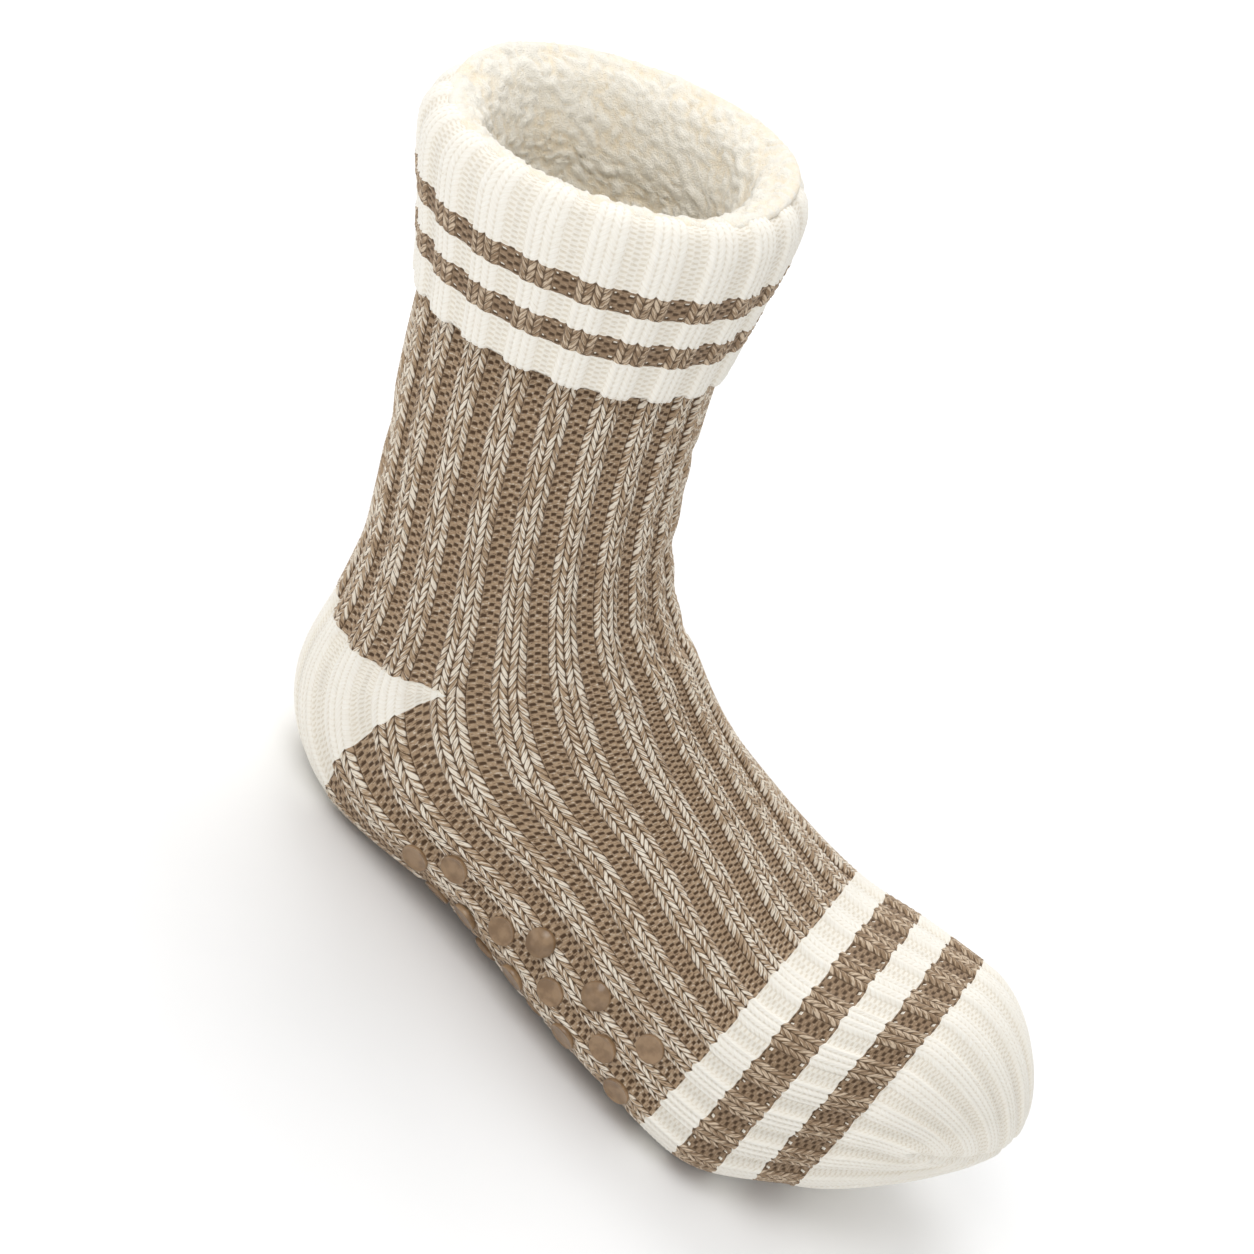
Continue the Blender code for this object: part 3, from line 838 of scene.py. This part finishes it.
def pile_height(points):
    """Curled tufts: puffs of a warped noise, about 4 mm wide, with smaller ones on them."""
    noise.seed_set(PILE_SEED)
    height = np.empty(len(points))
    for i, point in enumerate(points):
        p = Vector(point)
        p.z *= PILE_FLATNESS
        warped = p + noise.noise_vector(p * PILE_WARP[0]) * PILE_WARP[1]
        fine = noise.noise_vector(p * PILE_FINE_WARP[0] + Vector(PILE_FINE_PLACE)) * PILE_FINE_WARP[1]
        puff = abs(noise.noise(warped * PILE_PUFFS[0])) * PILE_PUFFS[1]
        curl = abs(noise.noise((warped + fine) * PILE_CURLS[0])) * PILE_CURLS[1]
        height[i] = puff + curl + noise.noise(p * PILE_SWELL[0]) * PILE_SWELL[1]
    return height


def pile_rings():
    """Rings over the crown and down inside to the toe, how curled each is, and the backing's."""
    shares = (np.arange(PILE_COLUMNS) + 0.5) / PILE_COLUMNS
    far = smooth_step(0.5 - 0.5 * np.cos(2.0 * math.pi * shares), *CROWN_FAR_SHARE)
    rings = []
    for drop, reach in smooth_profile(CROWN, PILE_STEP):
        inner = collar_ring(drop, reach, shares)
        over = collar_ring(drop - CROWN_FAR[0], reach + CROWN_FAR[1], shares)
        share = far * (1.0 - smooth_step(drop, 0.0, CROWN_FADE))
        rings.append(inner + (over - inner) * share[:, None])
    weights = list(np.clip(np.arange(len(rings)) / PILE_EDGE_RINGS, 0.0, 1.0))
    rows = FORM_ROWS[FORM_ROWS <= LAST_ROW]
    middles = np.array([section(v, 0.0)[0] for v in rows])
    runs = np.concatenate(([0.0], np.cumsum(np.linalg.norm(np.diff(middles, axis=0), axis=1))))
    begin = float(np.interp(row_at_drop(CROWN[-1][0]), rows, runs))
    fine = np.arange(begin + PILE_STEP, PILE_VISIBLE, PILE_STEP)
    coarse = np.arange(PILE_VISIBLE, runs[-1], PILE_COARSE_STEP)
    for v in np.interp(np.concatenate((fine, coarse)), runs, rows):
        rings.append(ring(v, LINING_INSIDE, shares))
        weights.append(1.0)
    for v in LAST_ROW + np.linspace(0.0, 1.0, LINING_TOE_STEPS + 1)[1:]:
        rings.append(ring(v, LINING_INSIDE, shares))
        weights.append(0.0)
    backing = [collar_ring(0.0, -LINING_OUTSIDE, shares)]
    first, step = BACKING_ROWS
    for v in np.concatenate((np.arange(first, LAST_ROW, step),
                             LAST_ROW + np.linspace(0.0, 1.0, BACKING_TOE_STEPS + 1))):
        backing.append(ring(v, LINING_OUTSIDE, shares))
    return np.array(rings), np.array(weights), np.array(backing)


def ring_faces(a, b, count, flip=False):
    """Faces between the rings that start at points a and b."""
    faces = []
    for k in range(count):
        n = (k + 1) % count
        face = (a + k, b + k, b + n, a + n)
        faces.append(face[::-1] if flip else face)
    return faces


def slit_faces(start, count, flip=False):
    """Faces that close a flattened ring, whose first half lies over its second half."""
    faces = []
    for k in range(count // 2 - 1):
        face = (start + k, start + k + 1, start + count - 2 - k, start + count - 1 - k)
        faces.append(face if flip else face[::-1])
    return faces


def make_lining(material, offset):
    """The pile as one closed body: curled on the crown and inside, plain against the knit."""
    rings, weights, backing = pile_rings()
    height = pile_height(rings.reshape(-1, 3)).reshape(rings.shape[:2])
    lift = height * weights[:, None] * PILE_LIFT
    moved = rings - grid_normals(rings) * lift[..., None]
    moved[..., 2] = np.maximum(moved[..., 2], LINING_FLOOR)
    points = np.concatenate((moved.reshape(-1, 3), backing.reshape(-1, 3))) + offset
    inside, last = len(rings), len(rings) + len(backing) - 1
    faces = []
    for first, end, flip in ((0, inside - 1, True), (inside, last, False)):
        for r in range(first, end):
            faces += ring_faces(r * PILE_COLUMNS, (r + 1) * PILE_COLUMNS, PILE_COLUMNS, flip)
    faces += ring_faces(0, inside * PILE_COLUMNS, PILE_COLUMNS)
    faces += slit_faces((inside - 1) * PILE_COLUMNS, PILE_COLUMNS, True)
    faces += slit_faces(last * PILE_COLUMNS, PILE_COLUMNS)
    lining = plain_object("pile_lining", points.tolist(), faces, material)
    # The curls' height, which sets where the pile's painted shade falls
    curl = lining.data.attributes.new("curl", "FLOAT", "POINT")
    values = np.concatenate((height.ravel(), np.zeros(len(backing) * PILE_COLUMNS)))
    curl.data.foreach_set("value", values.astype(np.float32))
    return lining


def dot_seats():
    """The middle of each dot's underside and the way that it faces, by the dot's name."""
    seats = {}
    for name in sorted(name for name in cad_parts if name.startswith("grip_dot")):
        solid = np.array([v.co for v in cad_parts[name].data.vertices])
        middle = solid.mean(axis=0)
        normal = np.linalg.svd(solid - middle)[2][2]
        normal *= 1.0 if normal[2] < 0.0 else -1.0
        seats[name] = (middle + normal * ((solid - middle) @ normal).min(), normal)
    return seats


def make_dots(seats, knit, material):
    """Low glossy discs with a soft rim, each on the knit where its solid is."""
    angles = np.arange(DOT_SIDES) * 2.0 * math.pi / DOT_SIDES
    top = (len(DOT_PROFILE) - 1) * DOT_SIDES
    points, faces = [], []
    for centre, normal in seats.values():
        near = knit[np.linalg.norm(knit - centre, axis=1) < DOT_DIAMETER / 2]
        if len(near):
            centre = centre + normal * np.clip(((near - centre) @ normal).max(), 0.0, DOT_LIFT)
        first = np.cross(normal, (0.0, 1.0, 0.0))
        first /= np.linalg.norm(first)
        second = np.cross(normal, first)
        start = len(points)
        for radius, rise in DOT_PROFILE:
            for a in angles:
                side = first * math.cos(a) + second * math.sin(a)
                points.append(centre + side * radius * DOT_DIAMETER / 2.0 + normal * rise)
        for low in range(start, start + top, DOT_SIDES):
            faces += ring_faces(low, low + DOT_SIDES, DOT_SIDES)
        faces.append(tuple(range(start + top, start + top + DOT_SIDES))[::-1])
        faces.append(tuple(range(start, start + DOT_SIDES)))
    return plain_object("grip_dots", points, faces, material)


class Shader:
    """Short ways to add and join the nodes of one material."""

    def __init__(self, name, roughness, sheen=0.0, coat=0.0):
        self.material = bpy.data.materials.new(name)
        self.material.use_nodes = True
        self.nodes = self.material.node_tree.nodes
        self.links = self.material.node_tree.links
        self.shader = self.nodes["Principled BSDF"]
        self.shader.inputs["Roughness"].default_value = roughness
        self.shader.inputs["Sheen Weight"].default_value = sheen
        self.shader.inputs["Sheen Roughness"].default_value = 0.5
        self.shader.inputs["Coat Weight"].default_value = coat

    def set(self, socket, value):
        """Links a socket's value, or sets a number, vector or colour."""
        if isinstance(value, bpy.types.NodeSocket):
            self.links.new(value, socket)
        elif socket.type == "RGBA":
            socket.default_value = (*value, 1.0)
        else:
            socket.default_value = value

    def math(self, operation, a, b=0.0, c=0.0, clamp=False):
        node = self.nodes.new("ShaderNodeMath")
        node.operation = operation
        node.use_clamp = clamp
        for socket, value in zip(node.inputs, (a, b, c)):
            self.set(socket, value)
        return node.outputs[0]

    def ramp(self, value, low, high):
        node = self.nodes.new("ShaderNodeMapRange")
        node.interpolation_type = "SMOOTHSTEP"
        self.set(node.inputs["Value"], value)
        node.inputs["From Min"].default_value = low
        node.inputs["From Max"].default_value = high
        return node.outputs[0]

    def mix(self, share, a, b):
        node = self.nodes.new("ShaderNodeMix")
        node.data_type = "RGBA"
        for index, value in ((0, share), (6, a), (7, b)):
            self.set(node.inputs[index], value)
        return node.outputs[2]

    def vector(self, x, y, z=0.0):
        node = self.nodes.new("ShaderNodeCombineXYZ")
        for socket, value in zip(node.inputs, (x, y, z)):
            self.set(socket, value)
        return node.outputs[0]

    def noise(self, vector, scale, detail, rough=0.5):
        node = self.nodes.new("ShaderNodeTexNoise")
        self.set(node.inputs["Vector"], vector)
        node.inputs["Scale"].default_value = scale
        node.inputs["Detail"].default_value = detail
        node.inputs["Roughness"].default_value = rough
        return node.outputs[0]

    def random(self, vector):
        node = self.nodes.new("ShaderNodeTexWhiteNoise")
        self.set(node.inputs["Vector"], vector)
        return node.outputs["Value"]

    def where(self):
        return self.nodes.new("ShaderNodeTexCoord").outputs["Object"]

    def bump(self, height, distance, strength):
        node = self.nodes.new("ShaderNodeBump")
        node.inputs["Strength"].default_value = strength
        node.inputs["Distance"].default_value = distance
        self.set(node.inputs["Height"], height)
        return node.outputs[0]

    def finish(self, colour, normal=None):
        self.set(self.shader.inputs["Base Color"], colour)
        if normal is not None:
            self.links.new(normal, self.shader.inputs["Normal"])
        return self.material


def from_middle(s, share):
    """0 in the middle of a share that runs from 0 to 1, and 1 at both ends."""
    return s.math("ABSOLUTE", s.math("MULTIPLY_ADD", share, 2.0, -1.0))


def knit_material(name, dark, middle, light, gap_shade, streak, holes, furrow):
    """Yarn in stitches: plies of three shades, with painted shade around the strands and in the
    furrows.
    """
    s = Shader(name, 0.92, sheen=0.12)
    split = s.nodes.new("ShaderNodeSeparateXYZ")
    s.links.new(s.nodes.new("ShaderNodeUVMap").outputs[0], split.inputs[0])
    u, w = split.outputs[0], split.outputs[1]
    turn = s.math("MODULO", u, float(STRANDS_PER_RIB))
    purl = s.math("GREATER_THAN", turn, KNIT_STRANDS)
    knit = s.math("SUBTRACT", 1.0, purl)
    within = s.math("FRACT", u)
    strand = s.math("FLOOR", u)
    lifted = s.math("ABSOLUTE", s.math("SUBTRACT", s.math("MODULO", strand, 2.0), within))
    leaf = s.math("MULTIPLY_ADD", lifted, SKEW, w)
    # Knit strands: one plump leaf to a stitch with an outline of painted shade, or holes of painted
    # shade beside its ends
    side = from_middle(s, within)
    end = from_middle(s, s.math("FRACT", leaf))
    outline = s.ramp(s.math("ADD", s.math("POWER", side, LEAF_SQUARENESS),
                            s.math("POWER", end, LEAF_SQUARENESS)), *LEAF_EDGE)
    hole = s.math("MULTIPLY", s.ramp(side, *STRAND_EDGE), s.ramp(end, *HOLE_EDGE))
    knit_gap = s.math("ADD", s.math("MULTIPLY", outline, 1.0 - holes),
                      s.math("MULTIPLY", hole, holes))
    # Purl bumps: three columns of short bars in each furrow, with painted shade in the gaps between
    # them
    place = s.math("MULTIPLY", s.math("SUBTRACT", turn, KNIT_STRANDS), PURL_COLUMNS / KNIT_STRANDS)
    is_middle = s.math("COMPARE", s.math("FLOOR", place), 1.0, 0.1)
    phase = s.math("MULTIPLY_ADD", is_middle, MIDDLE_PHASE - OUTER_PHASE, OUTER_PHASE)
    course = s.math("SUBTRACT", w, phase)
    wave = s.math("COSINE", s.math("MULTIPLY", course, 2.0 * math.pi))
    low = s.ramp(s.math("MULTIPLY_ADD", wave, -0.5, 0.5), *PURL_EDGE)
    ends = s.math("POWER", from_middle(s, s.math("FRACT", place)), PURL_SQUARENESS)
    purl_gap = s.math("MULTIPLY", low, s.math("SUBTRACT", 1.0, ends))
    gap = s.math("ADD", s.math("MULTIPLY", purl_gap, purl), s.math("MULTIPLY", knit_gap, knit))
    # Plies run along a strand, and across a purl bar
    across, along, step = KNIT_PLIES
    knit_plies = s.noise(s.vector(s.math("MULTIPLY_ADD", strand, step,
                                         s.math("MULTIPLY", within, across)),
                                  s.math("MULTIPLY", leaf, along)), *PLY_NOISE, 0.6)
    across, along, step = PURL_PLIES
    bar = s.math("FLOOR", s.math("ADD", course, 0.5))
    purl_plies = s.noise(s.vector(s.math("MULTIPLY", u, across), s.math("MULTIPLY", w, along),
                                  s.math("MULTIPLY", bar, step)), *PLY_NOISE, 0.62)
    purl_plies = s.math("MULTIPLY_ADD", purl_plies, PURL_PLY_CONTRAST,
                        0.5 * (1.0 - PURL_PLY_CONTRAST))
    plies = s.math("ADD", s.math("MULTIPLY", purl_plies, purl), s.math("MULTIPLY", knit_plies, knit))
    # Each knit stitch has a tone of its own, the furrows' plies are set lower as painted shade, and
    # three shades are cut from the sum
    tone = s.math("SUBTRACT", s.random(s.vector(strand, s.math("FLOOR", leaf))), 0.5)
    tone = s.math("MULTIPLY", s.math("MULTIPLY", tone, knit), STITCH_TONE * streak)
    lift = s.math("MULTIPLY_ADD", purl, PURL_LIFT - KNIT_LIFT, KNIT_LIFT)
    shade = s.math("ADD", s.math("ADD", plies, lift), tone)
    spread = PLY_SPREAD / streak
    pale = s.ramp(shade, PLY_MIDDLE[1], PLY_MIDDLE[1] + spread)
    deep = s.ramp(shade, PLY_MIDDLE[0] - spread, PLY_MIDDLE[0])
    colour = s.mix(pale, s.mix(deep, dark, middle), light)
    # Painted shade: the gaps and the furrows mixed towards the dark colour
    painted_shade = s.math("MULTIPLY_ADD", purl, furrow, s.math("MULTIPLY", gap, gap_shade), clamp=True)
    fibres = s.math("ADD", plies, s.math("MULTIPLY", s.noise(s.where(), 2600.0, 2.0), 0.5))
    return s.finish(s.mix(painted_shade, colour, dark), s.bump(fibres, 0.00025, 0.6))


def pile_material():
    """Cream fleece: tan painted shade between the curls, paler on them, with a fine woolly surface.
    """
    s = Shader("cream_pile", 1.0, sheen=0.3)
    level = s.nodes.new("ShaderNodeAttribute")
    level.attribute_name = "curl"
    colour = s.mix(s.ramp(level.outputs["Fac"], -0.15, 0.75), PILE_PAINTED_SHADE, PILE_HIGH)
    strands = s.noise(s.where(), 900.0, 4.0, 0.65)
    tips = s.math("MULTIPLY", s.ramp(strands, 0.35, 0.62), PILE_TIP_SHARE)
    wool = s.math("ADD", strands, s.noise(s.where(), 2400.0, 3.0))
    return s.finish(s.mix(tips, colour, PILE_TIPS), s.bump(wool, 0.0007, 0.7))


def dot_material():
    """Clear brown silicone, smooth and glossy, slightly uneven."""
    s = Shader("brown_silicone", 0.30, coat=0.35)
    s.shader.inputs["Coat Roughness"].default_value = 0.12
    patches = s.ramp(s.noise(s.where(), 260.0, 3.0), 0.35, 0.65)
    return s.finish(s.mix(patches, *SILICONE), s.bump(s.noise(s.where(), 700.0, 3.0), 0.0003, 0.30))


def floor_material():
    """Matt white paper with a trace of grain."""
    s = Shader("pale_floor", 0.9)
    return s.finish(s.mix(s.noise(s.where(), 30.0, 3.0), *FLOOR))


def make_camera(offset):
    """The photograph's view: from above, rolled so that the leg leans to the left."""
    a, e, roll = (math.radians(x) for x in (CAMERA_AZIMUTH, CAMERA_ELEVATION, CAMERA_ROLL))
    back = Vector((math.sin(a) * math.cos(e), -math.cos(a) * math.cos(e), math.sin(e)))
    level = Vector((math.cos(a), math.sin(a), 0.0))
    upright = back.cross(level)
    right = level * math.cos(roll) + upright * math.sin(roll)
    up = upright * math.cos(roll) - level * math.sin(roll)
    data = bpy.data.cameras.new("camera")
    data.sensor_width = SENSOR
    data.lens = CAMERA_FOCUS * SENSOR / IMAGE_SIDE
    data.clip_end = CAMERA_REACH
    place = Vector(CAMERA_TARGET) + Vector(offset) + back * CAMERA_DISTANCE
    pixel = CAMERA_DISTANCE / CAMERA_FOCUS
    place += (IMAGE_SIDE / 2.0 - IMAGE_MIDDLE[0]) * pixel * right
    place += (IMAGE_MIDDLE[1] - IMAGE_SIDE / 2.0) * pixel * up
    camera = link(bpy.data.objects.new("camera", data))
    camera.matrix_world = Matrix.Translation(place) @ Matrix((right, up, back)).transposed().to_4x4()
    bpy.context.scene.camera = camera


def area_light(name, place, target, size, power):
    """A round soft lamp that points at its target."""
    data = bpy.data.lights.new(name, "AREA")
    data.shape = "DISK"
    data.size = size
    data.energy = power
    light = link(bpy.data.objects.new(name, data))
    light.location = place
    light.rotation_euler = (Vector(target) - Vector(place)).to_track_quat("-Z", "Y").to_euler()


def make_surroundings():
    """A wide pale floor, a bright even sky and two soft lamps."""
    side = FLOOR_SIDE / 2.0
    corners = [(-side, -side, 0.0), (side, -side, 0.0), (side, side, 0.0), (-side, side, 0.0)]
    plain_object("floor", corners, [(0, 1, 2, 3)], floor_material())
    world = bpy.data.worlds.new("studio")
    world.use_nodes = True
    background = world.node_tree.nodes["Background"]
    background.inputs["Color"].default_value = (1.0, 1.0, 1.0, 1.0)
    background.inputs["Strength"].default_value = SKY_STRENGTH
    bpy.context.scene.world = world
    for lamp in LAMPS:
        area_light(*lamp)
    view = bpy.context.scene.view_settings
    view.view_transform = "Standard"
    view.look = "None"
    view.exposure = 0.0
    view.gamma = 1.0


def dress(piece, nodes):
    """Puts a piece on the body in the place of its solids, which it hides."""
    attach(piece, "root")
    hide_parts(*nodes)


def build():
    """Camera, surroundings and every piece of the sock."""
    wales = Wales(np.array([ring(v, 0.0, SHARES % 1.0) for v in FORM_ROWS]))
    low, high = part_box("knit_body")
    sides = wales.points[..., 1]
    offset = np.array((high[0] - FOOT_LENGTH,
                       (low[1] + high[1] - sides.min() - sides.max()) / 2.0, 0.0))
    make_camera(offset)
    make_surroundings()
    yarns = [knit_material(*yarn) for yarn in YARNS]
    seats = dot_seats()
    knit = knit_lattice(wales, np.array([seat[0] for seat in seats.values()]) - offset)
    for piece in lattice_pieces(knit, ("knit_leg", "knit_heel", "knit_foot", "knit_toe"), yarns,
                                offset):
        dress(piece, ("knit_body",))
    (cuff,) = lattice_pieces(cuff_lattice(), ("cuff_knit",), yarns, offset)
    dress(cuff, ("cuff",))
    dress(make_lining(pile_material(), offset), ("lining",))
    surface = np.concatenate(knit.points) + offset
    dress(make_dots(seats, surface, dot_material()), seats)


build()
